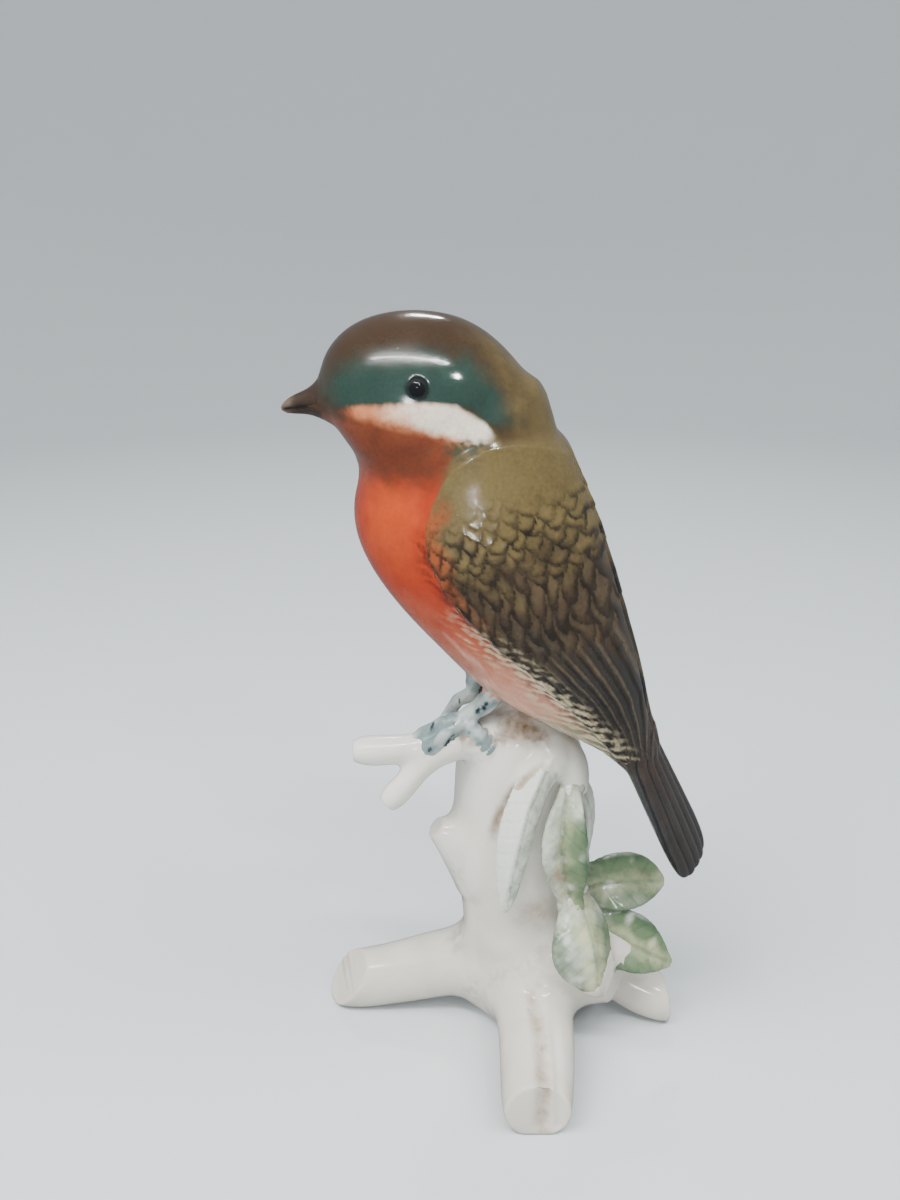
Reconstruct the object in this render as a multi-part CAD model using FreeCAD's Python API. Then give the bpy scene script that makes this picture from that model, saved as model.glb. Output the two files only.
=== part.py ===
import FreeCAD, Part

"""Porcelain songbird on a tree stump: the clay pieces that the maker casts or forms by hand and
joins with slip before the firing.  Millimetres, +Z up.  The bird looks towards -X and its left side
faces -Y.  The drawing is laid out about the stump's axis and moved at the end, so that the origin is
the middle of the footprint, on the surface that the four feet stand on."""

import math
import os

Vec = FreeCAD.Vector
UP = Vec(0, 0, 1)

# ---- driving dimensions ------------------------------------------------------------------------
WALL = 2.8                 # thickness of the slip-cast walls
LEAF_THICK = 1.7           # hand-pressed leaves, glaze included
BODY_YAW = -16.0           # degrees: the tail swings towards -Y
BODY_PIVOT = Vec(-8, 0, 0)
HEAD_YAW = 6.0             # degrees: the bill comes back towards -Y
HEAD_PIVOT = Vec(-19, -0.5, 0)
WING_PROUD = (0.5, 1.9)    # how far a wing stands off the body, at the shoulder and at the tip
WING_GAP = 1.3             # half the gap between the two wings along the back
EYE_RADIUS = 1.9
EYE_SHOWN = 0.75           # height of the eye's dome above the head
DRAIN_RADIUS = 4.5         # casting drain in the underside of the stump
VENT_RADIUS = 2.5          # vent from the bird into the stump, and from the head into the bird
OUTLINE_POINTS = 16        # points on each closed section
PARTS = "parts"

# Sections of the bird, each (front or lower point, back or upper point, half width, skew): points
# are (x, z) in the middle plane, and skew moves the widest place towards the first point.
BODY = [
    ((-27.0, 117.0), (-4.5, 124.5), 10.5, 0.0),
    ((-28.8, 110.5), (1.0, 118.2), 12.6, 0.0),
    ((-31.2, 104.6), (4.6, 110.6), 14.6, 0.05),
    ((-31.2, 97.5), (8.2, 102.2), 16.0, 0.08),
    ((-27.9, 90.6), (11.2, 93.6), 16.2, 0.08),
    ((-22.6, 84.0), (13.9, 85.0), 15.2, 0.05),
    ((-16.2, 77.4), (16.2, 77.4), 13.4, 0.0),
    ((-8.6, 70.6), (17.8, 70.4), 11.0, -0.05),
    ((0.6, 66.2), (18.9, 65.2), 8.6, -0.05),
    ((9.0, 63.0), (19.8, 61.8), 6.4, 0.0),
    ((14.2, 59.4), (20.2, 58.6), 4.4, 0.0),
]
HEAD = [
    ((-35.4, 119.4), (-35.4, 124.0), 2.6, 0.0),
    ((-34.6, 117.6), (-34.9, 127.2), 5.6, 0.1),
    ((-32.6, 114.8), (-32.4, 130.5), 8.8, 0.1),
    ((-29.0, 109.8), (-28.2, 133.0), 11.4, 0.1),
    ((-24.0, 106.2), (-23.0, 134.1), 12.8, 0.1),
    ((-18.6, 105.4), (-17.8, 134.0), 13.1, 0.08),
    ((-13.0, 106.6), (-12.6, 132.7), 12.6, 0.05),
    ((-7.6, 109.6), (-7.6, 129.6), 10.8, 0.0),
    ((-3.2, 113.6), (-3.4, 125.2), 7.6, 0.0),
    ((-0.6, 117.0), (-0.8, 121.4), 3.4, 0.0),
]
BEAK = [
    ((-31.5, 116.4), (-31.5, 124.6), 4.2, 0.0),
    ((-34.5, 117.7), (-34.5, 123.9), 3.1, 0.0),
    ((-37.0, 118.0), (-37.0, 122.6), 2.2, 0.0),
    ((-39.5, 118.2), (-39.5, 121.5), 1.5, 0.0),
    ((-41.3, 118.4), (-41.3, 120.5), 0.9, 0.0),
]
BEAK_TIP = (-42.3, 119.2)
TAIL = [
    ((11.6, 69.0), (15.2, 71.4), 5.0, 0.0),
    ((16.0, 62.6), (19.8, 64.9), 5.9, 0.0),
    ((19.9, 56.4), (23.2, 58.4), 6.6, 0.0),
    ((23.7, 50.2), (26.6, 51.9), 7.2, 0.0),
    ((27.1, 44.8), (29.5, 46.2), 7.5, 0.0),
    ((29.1, 41.8), (31.0, 43.0), 6.4, 0.0),
]
TAIL_TIP = (30.8, 41.0)
TAIL_TURN = -12.0          # degrees more than the body, about the rump
RUMP = Vec(14, 0, 0)
# Beyond the rump the wings run on over the tail.
WING_ENDS = [((13.4, 60.8), (20.6, 61.4), 6.2, 0.0), ((16.6, 58.2), (20.8, 59.0), 4.4, 0.0)]
# Side outline of a folded wing, from the shoulder down the lower edge to the tip and back.
WING_OUTLINE = [
    (-12.6, 106.6), (-13.6, 101.0), (-11.8, 95.2), (-7.6, 89.2), (-2.4, 84.0), (3.0, 78.8),
    (8.4, 73.2), (13.2, 67.4), (16.6, 62.4), (19.4, 60.0), (22.0, 62.6), (21.4, 72.0),
    (18.4, 86.0), (14.0, 97.5), (9.0, 107.0), (3.0, 113.0), (-4.0, 114.4), (-10.0, 111.6),
]
EYE_AT = (-21.2, 123.9)    # x and z of both eyes, in the head's own middle plane

# Stump sections: (z, centre x, centre y, half size x, half size y).
STUMP = [
    (2.6, 0.6, 0.5, 12.0, 11.4), (8.0, 0.4, 0.2, 13.0, 12.0), (16.0, 0.0, 0.0, 12.4, 11.6),
    (25.0, -1.2, 0.0, 11.6, 11.0), (34.0, -2.6, 0.0, 11.2, 10.6), (44.0, -3.6, 0.0, 10.6, 10.2),
    (53.0, -3.8, 0.0, 10.0, 9.8), (59.5, -3.2, 0.0, 9.6, 9.4), (63.4, -2.6, 0.2, 7.8, 7.8),
]
STUMP_TOP = Vec(-2.2, 0.2, 66.0)

# Limbs: (x, y, z, half width across, half height) along their middle lines.
ROOT_LEFT = [(-4, 0.6, 10.2, 7.4, 7.4), (-13, 0.8, 8.9, 6.4, 6.2), (-22, 0.6, 6.9, 5.9, 5.9),
             (-30, 0.4, 5.2, 5.6, 5.8), (-36.2, 0.3, 4.5, 5.0, 5.3)]
ROOT_FRONT = [(0.8, -3, 9.8, 7.6, 7.2), (0.7, -13, 8.0, 7.0, 6.3), (0.6, -21, 6.4, 6.7, 5.9),
              (0.2, -28, 5.0, 6.4, 5.5), (0.0, -33.6, 4.0, 5.6, 4.7)]
ROOT_RIGHT = [(4, 2.5, 10.2, 7.2, 6.6), (11.6, 1.6, 9.0, 6.0, 5.5), (17.4, -0.8, 7.0, 5.0, 4.8),
              (22.2, -3.0, 5.0, 4.3, 4.6), (27.0, -5.0, 3.6, 3.6, 4.2)]
ROOT_BACK = [(0, 4, 9.8, 7.2, 6.8), (1.5, 13, 8.4, 6.4, 6.0), (3.2, 21, 6.4, 6.0, 5.7),
             (4.6, 29, 4.8, 5.2, 5.3)]
ROOT_KNOB = [(3.0, -3.0, 14.0, 8.4, 8.4), (8.0, -6.4, 14.6, 8.2, 8.4), (12.0, -8.6, 14.4, 6.6, 7.0)]
STUB = [(-8.0, -2.0, 32.6, 6.2, 5.8), (-12.6, -3.2, 37.8, 4.5, 4.3), (-16.2, -4.0, 41.2, 2.7, 2.6)]
TWIG = [(-3.5, -2.4, 60.2, 4.8, 3.4), (-10.0, -4.0, 61.0, 3.4, 3.0), (-16.0, -5.4, 60.8, 3.0, 2.8),
        (-21.5, -6.2, 60.0, 2.6, 2.6), (-30.2, -7.0, 59.8, 2.5, 2.4)]
TWIG_PRONG = [(-14.0, -5.6, 60.4, 2.4, 2.4), (-18.4, -7.0, 58.2, 2.5, 2.5), (-22.2, -8.4, 54.6, 2.4, 2.4),
              (-25.2, -9.4, 51.6, 2.3, 2.3)]
LEAF_STEM = [(-2.5, -3.0, 57.5, 5.0, 5.0), (3.0, -4.6, 58.0, 4.2, 4.2), (6.6, -5.6, 55.6, 3.4, 3.4),
             (7.6, -6.2, 52.6, 2.6, 2.6)]
# Legs and toes: rolls of clay, each the points along it and the radius at each point.
LEGS = {
    "left_leg": [
        ([Vec(-5.8, -4.4, 71.5), Vec(-8.8, -5.0, 68.0), Vec(-12.6, -5.8, 65.4)], (2.3, 1.8, 1.5)),
        ([Vec(-12.6, -5.8, 65.4), Vec(-16.2, -6.2, 64.8), Vec(-20.0, -6.0, 62.8)], (1.5, 1.2, 0.9)),
        ([Vec(-12.6, -6.0, 65.2), Vec(-15.6, -8.0, 64.0), Vec(-18.4, -8.8, 61.6)], (1.4, 1.1, 0.8)),
        ([Vec(-12.6, -5.4, 65.2), Vec(-15.8, -3.6, 64.2), Vec(-18.4, -3.0, 62.2)], (1.4, 1.1, 0.8)),
        ([Vec(-12.4, -6.0, 65.2), Vec(-9.8, -7.6, 63.4), Vec(-8.2, -8.0, 61.0)], (1.4, 1.1, 0.8)),
    ],
    "right_leg": [
        ([Vec(-9.0, 4.2, 74.5), Vec(-10.4, 4.4, 70.0), Vec(-10.6, 4.4, 65.6)], (2.3, 1.8, 1.5)),
        ([Vec(-10.6, 4.4, 65.6), Vec(-13.6, 3.6, 64.4), Vec(-16.0, 2.2, 61.4)], (1.5, 1.2, 0.9)),
        ([Vec(-10.6, 4.4, 65.6), Vec(-13.0, 6.0, 63.8), Vec(-14.4, 6.8, 60.6)], (1.4, 1.1, 0.8)),
        ([Vec(-10.4, 4.4, 65.6), Vec(-8.4, 6.2, 65.0), Vec(-6.4, 6.8, 63.0)], (1.4, 1.1, 0.8)),
    ],
}

# Leaves.  Each station is (midrib x, y, z, left half width, left lift, right half width, right
# lift): a lift in degrees raises that half of the blade towards the leaf's face.
LEAVES = {
    "leaf_hanging_left": (Vec(-0.35, -1.0, 0.1), [
        (4.6, -7.0, 59.6, 2.4, -30, 2.2, -25), (1.2, -11.0, 57.4, 3.2, -50, 3.2, -15),
        (-1.6, -13.6, 51.4, 3.4, -62, 4.0, -10), (-3.2, -14.6, 44.4, 3.2, -62, 4.0, -10),
        (-4.4, -14.4, 37.6, 2.6, -58, 2.8, -12), (-5.0, -13.6, 32.8, 1.5, -50, 1.4, -12)],
        (-5.4, -13.0, 30.4)),
    "leaf_hanging_right": (Vec(0.1, -1.0, 0.05), [
        (5.8, -8.6, 53.2, 2.2, 20, 1.6, 16), (4.9, -10.4, 48.6, 4.0, 24, 3.0, 20),
        (4.6, -11.4, 43.2, 5.0, 26, 4.0, 24), (5.2, -11.6, 38.0, 4.6, 26, 3.6, 24),
        (6.2, -11.4, 33.4, 3.0, 24, 2.4, 22)],
        (7.4, -11.0, 29.8)),
    "leaf_hanging_back": (Vec(1.0, -0.35, 0.1), [
        (7.0, -4.0, 51.6, 1.8, 20, 1.8, 20), (8.9, -3.0, 48.4, 3.0, 20, 3.0, 30),
        (9.7, -2.6, 43.4, 3.4, 20, 3.2, 30), (9.9, -2.6, 38.6, 2.8, 15, 2.6, 25)],
        (9.9, -2.8, 33.8)),
    "leaf_bud": (Vec(0.8, -0.5, 0.6), [
        (3.2, 0.2, 59.0, 2.2, 20, 2.0, 20), (5.8, 0.0, 57.2, 3.0, 25, 2.6, 25),
        (7.4, -0.4, 53.8, 2.4, 25, 2.2, 25)],
        (7.4, -0.8, 50.0)),
    "leaf_base_upper": (Vec(0.15, -0.85, 0.5), [
        (9.0, -4.0, 28.6, 2.4, 15, 2.4, 15), (13.4, -4.8, 30.4, 5.0, 18, 4.4, 12),
        (17.8, -4.8, 31.0, 5.6, 14, 5.0, 10), (21.8, -4.2, 30.8, 4.2, 10, 3.8, 8)],
        (25.2, -3.2, 30.0)),
    "leaf_base_lower": (Vec(0.25, -0.85, 0.45), [
        (9.6, -6.4, 24.6, 2.6, 10, 2.4, 10), (14.2, -8.2, 22.4, 5.0, 15, 4.4, 10),
        (18.8, -8.8, 20.0, 5.6, 12, 5.0, 8), (23.0, -8.6, 17.4, 3.8, 8, 3.6, 6)],
        (26.6, -8.0, 15.0)),
    "leaf_base_front": (Vec(0.35, -0.9, 0.3), [
        (8.0, -10.6, 32.0, 2.8, -18, 3.4, -12), (9.6, -13.6, 28.0, 5.0, -26, 6.2, -14),
        (10.8, -15.6, 23.4, 5.4, -30, 7.4, -16), (11.4, -16.2, 18.8, 4.0, -28, 5.6, -18)],
        (11.6, -15.6, 14.2)),
}


# ---- helpers -----------------------------------------------------------------------------------
def closed_curve(points):
    """Smooth closed wire through the points."""
    curve = Part.BSplineCurve()
    curve.interpolate(Points=points, PeriodicFlag=True)
    return Part.Wire([curve.toShape()])


def oval(low, high, half_width, skew=0.0):
    """Closed section across the middle plane, through two (x, z) points."""
    low, high = Vec(low[0], 0, low[1]), Vec(high[0], 0, high[1])
    points = []
    for k in range(OUTLINE_POINTS):
        turn = 2 * math.pi * k / OUTLINE_POINTS
        across = half_width * math.sin(turn) * (1 + skew * math.cos(turn))
        points.append(low + (high - low) * ((1 - math.cos(turn)) / 2) + Vec(0, across, 0))
    return closed_curve(points)


def loft(sections, tip=None):
    """Solid through closed sections, brought to a point where a tip is given."""
    ends = [Part.Vertex(tip)] if tip else []
    return Part.makeLoft(sections + ends, True, False)


def through(table, tip=None, swell=0.0):
    """Loft of a table of oval sections, each grown by swell all round."""
    wires = []
    for low, high, half_width, skew in table:
        axis = Vec(high[0] - low[0], 0, high[1] - low[1]).normalize() * swell
        grown_low = (low[0] - axis.x, low[1] - axis.z)
        grown_high = (high[0] + axis.x, high[1] + axis.z)
        wires.append(oval(grown_low, grown_high, half_width + swell, skew))
    return loft(wires, tip and Vec(tip[0], 0, tip[1]))


def turned(shape, angle, pivot):
    """The shape turned about an upright axis through the pivot."""
    moved = shape.copy()
    moved.rotate(pivot, UP, angle)
    return moved


def limb(table):
    """Solid of oval sections square to a middle line, narrowed a little at its far end."""
    centres = [Vec(*row[:3]) for row in table]
    sizes = [row[3:] for row in table]
    last = (centres[-1] - centres[-2]).normalize()
    centres.append(centres[-1] + last * (0.7 * sizes[-1][0]))
    sizes.append([0.72 * size for size in sizes[-1]])
    side, wires = UP.cross(centres[1] - centres[0]), []
    for i, centre in enumerate(centres):
        along = (centres[min(i + 1, len(centres) - 1)] - centres[max(i - 1, 0)]).normalize()
        side = (side - along * side.dot(along)).normalize()
        wires.append(cross_section(centre, side, along.cross(side), *sizes[i]))
    return loft(wires)


def cross_section(centre, side, rise, half_width, half_height):
    """Closed oval about a centre, spanned by two directions."""
    points = []
    for k in range(OUTLINE_POINTS // 2):
        turn = 4 * math.pi * k / OUTLINE_POINTS
        points.append(centre + side * (half_width * math.cos(turn)) + rise * (half_height * math.sin(turn)))
    return closed_curve(points)


def claw(points, radii):
    """Row of tapered rolls of clay through the points, with round joints and ends."""
    pieces = [Part.makeSphere(radius, point) for point, radius in zip(points, radii)]
    for i in range(len(points) - 1):
        along = points[i + 1] - points[i]
        pieces.append(Part.makeCone(radii[i], radii[i + 1], along.Length, points[i], along))
    return pieces


def leaf(face, stations, tip):
    """Leaf blade: two half blades lifted about the midrib, of even thickness with rounded rims."""
    centres = [Vec(*s[:3]) for s in stations] + [Vec(*tip)]
    halves = [(left, lift, right, other) for _, _, _, left, lift, right, other in stations]
    halves.append((0.7, halves[-1][1], 0.7, halves[-1][3]))
    wires = []
    for i, (left, left_lift, right, right_lift) in enumerate(halves):
        along = (centres[min(i + 1, len(centres) - 1)] - centres[max(i - 1, 0)]).normalize()
        side = along.cross(face).normalize()
        normal = side.cross(along).normalize()
        half = LEAF_THICK / 2 * (1 if i < len(stations) else 0.6)
        outs, lifts = [], []
        for width, lift, sign in ((left, left_lift, -1), (right, right_lift, 1)):
            angle = math.radians(lift)
            outs.append((side * (sign * math.cos(angle)) + normal * math.sin(angle)) * width)
            lifts.append((normal * math.cos(angle) - side * (sign * math.sin(angle))) * half)
        face_side = [outs[0] + lifts[0] * 0.5, outs[0] * 0.5 + lifts[0], normal * half,
                     outs[1] * 0.5 + lifts[1], outs[1] + lifts[1] * 0.5]
        back_side = [outs[1] - lifts[1] * 0.5, outs[1] * 0.5 - lifts[1], normal * -half,
                     outs[0] * 0.5 - lifts[0], outs[0] - lifts[0] * 0.5]
        corners = [centres[i] + point for point in face_side + back_side]
        wires.append(Part.makePolygon(corners + corners[:1]))
    return loft(wires)


def stump(inset=0.0):
    """Stump between its sections, or the hollow inside it when inset by the wall."""
    sections = [s for s in STUMP if inset == 0 or 2.6 < s[0] < 63.0]
    wires = []
    for z, x, y, half_x, half_y in sections:
        points = []
        for k in range(OUTLINE_POINTS):
            turn = 2 * math.pi * k / OUTLINE_POINTS
            points.append(Vec(x + (half_x - inset) * math.cos(turn), y + (half_y - inset) * math.sin(turn), z))
        wires.append(closed_curve(points))
    return loft(wires, STUMP_TOP if inset == 0 else None)


def post(start, end, radius):
    """Plain cylinder between two points, for vents and drains."""
    return Part.makeCylinder(radius, (end - start).Length, start, end - start)


def wing(side):
    """One folded wing: the shell between the body and a fuller body, within the wing's outline."""
    full, last = [], len(BODY) - 2
    for i, (low, high, half_width, skew) in enumerate(BODY[1:-1]):
        proud = WING_PROUD[0] + (WING_PROUD[1] - WING_PROUD[0]) * i / last
        axis = Vec(high[0] - low[0], 0, high[1] - low[1]).normalize() * proud
        full.append(((low[0] - axis.x, low[1] - axis.z), (high[0] + axis.x, high[1] + axis.z),
                     half_width + proud, skew))
    envelope = through(full + WING_ENDS)
    outline = closed_curve([Vec(x, side * WING_GAP, z) for x, z in WING_OUTLINE])
    prism = Part.Face(outline).extrude(Vec(0, side * 30, 0))
    return turned(envelope.common(prism), BODY_YAW, BODY_PIVOT)


def eye(side, head):
    """Dome of one eye, standing a little out of the head."""
    line = turned(Part.makeLine(Vec(EYE_AT[0], 0, EYE_AT[1]), Vec(EYE_AT[0], side * 30, EYE_AT[1])),
                  HEAD_YAW, HEAD_PIVOT)
    surface = max((v.Point for v in line.common(head).Vertexes), key=lambda p: side * p.y)
    inward = Vec(0, -side * (EYE_RADIUS - EYE_SHOWN), 0)
    return Part.makeSphere(EYE_RADIUS, surface + inward)


def largest(shape):
    """The biggest solid of a cut, without the slivers that a cut can leave."""
    return max(shape.Solids, key=lambda s: s.Volume)


# ---- the pieces --------------------------------------------------------------------------------
def bird():
    """The bird's castings, each cut so that it meets the ones before it."""
    head = turned(through(HEAD), HEAD_YAW, HEAD_PIVOT)
    body = turned(through(BODY), BODY_YAW, BODY_PIVOT)
    tail = turned(turned(through(TAIL, TAIL_TIP), TAIL_TURN, RUMP), BODY_YAW, BODY_PIVOT)
    beak = turned(through(BEAK, BEAK_TIP), HEAD_YAW, HEAD_PIVOT)
    return {
        "bird_head": head,
        "bird_body": body,
        "tail": tail,
        "beak": beak,
        "left_wing": wing(-1),
        "right_wing": wing(1),
        "left_eye": eye(-1, head),
        "right_eye": eye(1, head),
    }


def base():
    """Stump, roots and twigs."""
    left = limb(ROOT_LEFT).cut(sawn_end(Vec(-32.6, 0, 9.5), Vec(-0.8, -0.3, 0.52)))
    return {
        "stump": stump(),
        "root_left": left,
        "root_front": limb(ROOT_FRONT).cut(sawn_end(Vec(0, -33.4, 5), Vec(0, -1, 0.15))),
        "root_right": limb(ROOT_RIGHT).cut(sawn_end(Vec(26.8, -4, 5), Vec(1, 0.1, 0.1))),
        "root_back": limb(ROOT_BACK),
        "root_knob": limb(ROOT_KNOB),
        "branch_stub": limb(STUB),
        "twig": limb(TWIG),
        "twig_prong": limb(TWIG_PRONG),
        "leaf_stem": limb(LEAF_STEM),
    }


def sawn_end(point, outward):
    """Block that saws a root's end off square to a direction."""
    size = 40.0
    block = Part.makeBox(size, size, size, Vec(-size / 2, -size / 2, 0))
    block.Placement = FreeCAD.Placement(point, FreeCAD.Rotation(UP, outward))
    return block


def legs():
    """Legs with their feet, rolled by hand."""
    return {name: fused([piece for roll in rolls for piece in claw(*roll)]) for name, rolls in LEGS.items()}


def fused(shapes):
    """One solid of several that run into each other."""
    return shapes[0].multiFuse(shapes[1:]).removeSplitter()


def hollows():
    """What the casting leaves empty, by piece."""
    body_inside = turned(through(BODY[1:-1], swell=-WALL), BODY_YAW, BODY_PIVOT)
    head_inside = turned(through(HEAD[2:-1], swell=-WALL), HEAD_YAW, HEAD_PIVOT)
    neck = post(Vec(-14, 0, 98), Vec(-17, 0, 118), VENT_RADIUS)
    seat = post(Vec(-1, 0, 54), Vec(-1, 0, 74), VENT_RADIUS)
    drain = post(Vec(0, 0, -1), Vec(0, 0, 12), DRAIN_RADIUS)
    return {
        "bird_head": [head_inside, neck],
        "bird_body": [body_inside, neck, seat],
        "stump": [stump(WALL), seat, drain],
    }


def meet(shapes):
    """Cuts each piece back to the ones before it, so that neighbours meet face to face."""
    done = {}
    for name, shape in shapes.items():
        for other in done.values():
            if shape.BoundBox.intersect(other.BoundBox):
                shape = largest(shape.cut(other))
        done[name] = shape
    return done


def main():
    """Builds every piece, stands the figure on z = 0 and writes one STEP file per piece."""
    leaves = {name: leaf(*args) for name, args in LEAVES.items()}
    pieces = meet({**bird(), **base(), **legs(), **leaves})
    below = Part.makeBox(200, 200, 50, Vec(-100, -100, -50))
    for name, tools in hollows().items():
        for tool in tools:
            pieces[name] = pieces[name].cut(tool)
        pieces[name] = largest(pieces[name])
    box = FreeCAD.BoundBox()
    for name in pieces:
        if pieces[name].BoundBox.ZMin < 0:
            pieces[name] = largest(pieces[name].cut(below))
        box.add(pieces[name].optimalBoundingBox(False))
    shift = Vec(-box.Center.x, -box.Center.y, 0)
    print("shift", tuple(round(v, 3) for v in shift), "box", box)
    os.makedirs(PARTS, exist_ok=True)
    for name, shape in pieces.items():
        shape.translate(shift)
        print(f"{name:20s} valid {shape.isValid()} volume {shape.Volume:9.1f}")
        shape.exportStep(os.path.join(PARTS, name + ".step"))


main()
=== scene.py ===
"""Porcelain songbird on a stump: the visual pieces, their paint and glaze, and the studio.

Every CAD piece becomes a distance field.  The fields are joined with soft fillets, as slip joins
clay, and each visual piece but the eyes is cut out of the joined field, so the lute lines between
pieces hardly show.  Lengths inside this file are millimetres; objects are made in metres.
"""

import logging
import math
from dataclasses import dataclass, field
from enum import Enum
from typing import Callable, Dict, List, Sequence, Tuple

import bpy
import numpy as np
import openvdb
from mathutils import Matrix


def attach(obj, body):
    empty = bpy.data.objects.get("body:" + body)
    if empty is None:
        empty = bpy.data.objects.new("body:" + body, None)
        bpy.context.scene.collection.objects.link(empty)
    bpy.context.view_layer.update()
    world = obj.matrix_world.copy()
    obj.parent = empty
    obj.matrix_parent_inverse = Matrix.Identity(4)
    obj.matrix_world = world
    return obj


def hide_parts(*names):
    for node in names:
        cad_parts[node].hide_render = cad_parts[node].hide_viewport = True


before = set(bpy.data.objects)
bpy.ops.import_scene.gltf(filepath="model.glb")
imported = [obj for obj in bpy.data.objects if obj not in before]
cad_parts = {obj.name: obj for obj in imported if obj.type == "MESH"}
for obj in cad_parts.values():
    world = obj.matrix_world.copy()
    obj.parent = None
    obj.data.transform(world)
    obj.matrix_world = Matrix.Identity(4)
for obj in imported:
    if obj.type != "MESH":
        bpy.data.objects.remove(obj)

LOG = logging.getLogger("figurine")
Array = np.ndarray
Colour = Tuple[float, float, float]
Masks = Dict[str, Array]

MM = 0.001
AXIS_SHIFT = np.array([5.894, 0.331, 0.0])   # stump axis of the design to the row frame
BODY_YAW, BODY_PIVOT = math.radians(-16.0), (-8.0, 0.0)
HEAD_YAW, HEAD_PIVOT = math.radians(6.0), (-19.0, -0.5)
TAIL_YAW, RUMP = math.radians(-12.0), (14.0, 0.0)


class Finish(Enum):
    """Painted finishes, by the record's material slots."""

    HEAD = "head_glaze"
    BREAST = "breast_glaze"
    WING = "wing_glaze"
    TAIL = "tail_glaze"
    HORN = "horn_glaze"
    BLACK = "black_glaze"
    LEG = "leg_glaze"
    LEAF = "leaf_glaze"
    WHITE = "white_glaze"


# ---- small numeric helpers ---------------------------------------------------------------------
def step(low: float, high: float, value: Array) -> Array:
    """Smooth step from 0 at low to 1 at high.

    Args:
        low: value where the step starts.
        high: value where the step ends; it may be below low for a falling step.
        value: values to map.

    Returns:
        Array of the same shape, between 0 and 1.
    """
    t = np.clip((value - low) / (high - low), 0.0, 1.0)
    return t * t * (3 - 2 * t)


def turn(points: Array, angle: float, pivot: Tuple[float, float]) -> Array:
    """Turns points about an upright axis.

    Args:
        points: N x 3 points.
        angle: radians, counter-clockwise seen from above.
        pivot: x and y of the axis.

    Returns:
        The turned points.
    """
    c, s = math.cos(angle), math.sin(angle)
    x, y = points[:, 0] - pivot[0], points[:, 1] - pivot[1]
    return np.stack([pivot[0] + c * x - s * y, pivot[1] + s * x + c * y, points[:, 2]], 1)


def wave(points: Array, scale: float, seed: int) -> Array:
    """Cheap smooth noise made of sine waves in seeded directions.

    Args:
        points: N x 3 points in millimetres.
        scale: typical size of a blotch, in millimetres.
        seed: chooses the directions.

    Returns:
        N values, about -1 to 1.
    """
    rng = np.random.default_rng(seed)
    total = np.zeros(len(points))
    for _ in range(6):
        direction = rng.normal(size=3)
        direction *= (2 * math.pi / scale) * rng.uniform(0.6, 1.3) / np.linalg.norm(direction)
        total += np.sin(points @ direction + rng.uniform(0, 6.28))
    return total / 3.0


def soft_min(a: Array, b: Array, radius: float) -> Array:
    """Joins two distance fields with a fillet of about the radius.

    Args:
        a: first field.
        b: second field.
        radius: width of the fillet.

    Returns:
        The joined field.
    """
    h = np.clip(radius - np.abs(a - b), 0, None) / radius
    return np.minimum(a, b) - h * h * (radius / 4)


# ---- clay: fields and meshes -------------------------------------------------------------------
@dataclass
class Block:
    """Part of the voxel grid: its lowest index and its values."""

    low: Tuple[int, int, int]
    values: Array

    def window(self, other: "Block") -> Tuple[slice, ...]:
        """Slices of this block that cover another block lying inside it.

        Args:
            other: the block inside.

        Returns:
            Three slices.
        """
        return tuple(slice(o - s, o - s + n) for s, o, n in zip(self.low, other.low, other.values.shape))


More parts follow.
